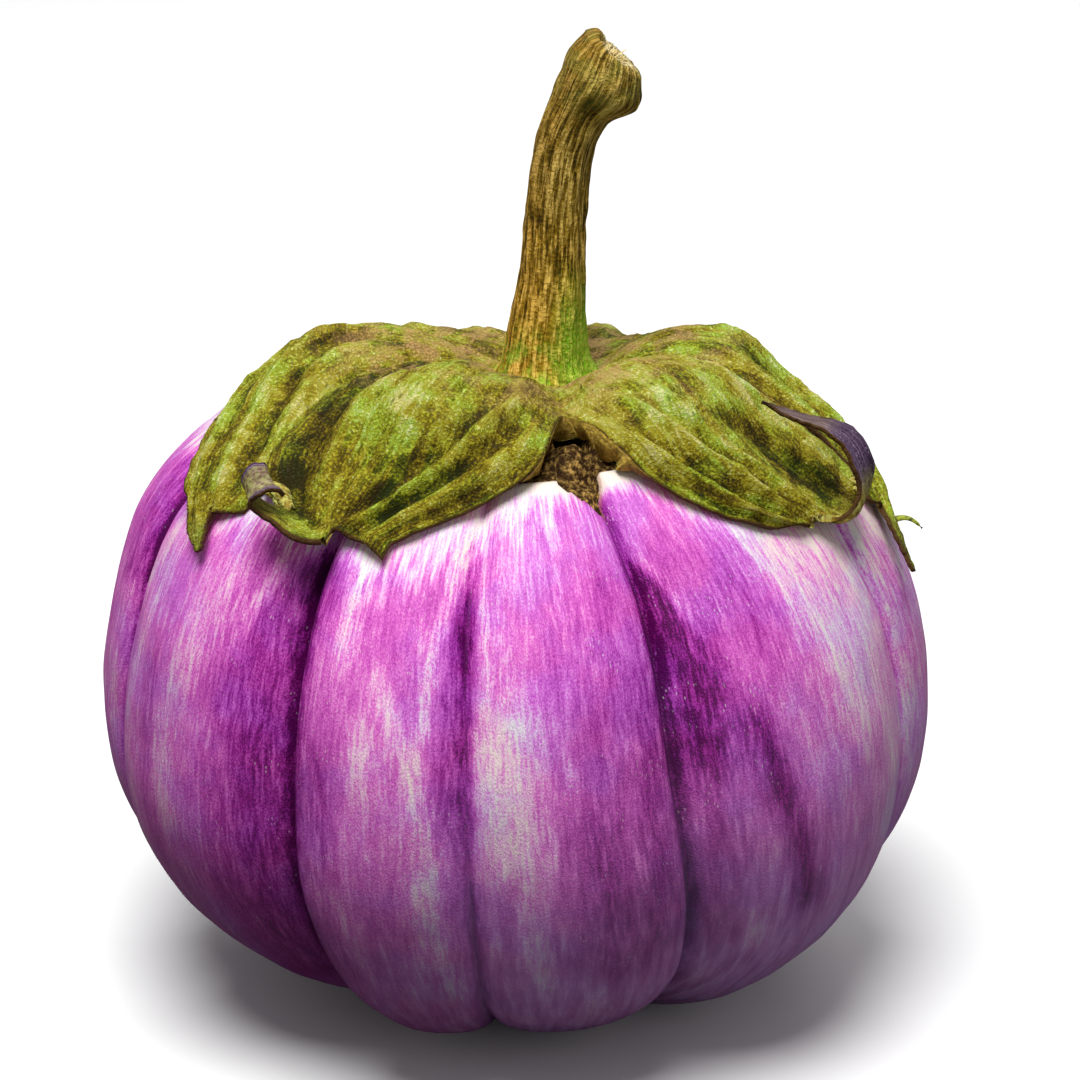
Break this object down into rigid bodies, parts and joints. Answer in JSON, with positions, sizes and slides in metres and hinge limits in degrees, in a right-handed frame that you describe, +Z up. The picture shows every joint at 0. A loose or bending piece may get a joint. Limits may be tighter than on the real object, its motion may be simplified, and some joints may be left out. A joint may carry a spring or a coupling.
{
  "type": "eggplant",
  "caption": "Squat, deeply ribbed purple eggplant as picked, standing on its lobes, with a leafy calyx and a bent cut stem.",
  "frame": {"origin": "on the surface it stands on, under the middle of its bounding box in plan", "axes": "+Z up, from the base to the cut stem; the front seen in the picture is towards -Y, and the stem's cut end bends towards +X"},
  "size_m": [0.1184, 0.1206, 0.1404],
  "materials": {
    "skin": "satin",
    "calyx": "matte",
    "stem": "matte"
  },
  "bodies": {
    "root": {"fruit": "skin", "calyx": "calyx", "stem": "stem"}
  },
  "joints": []
}
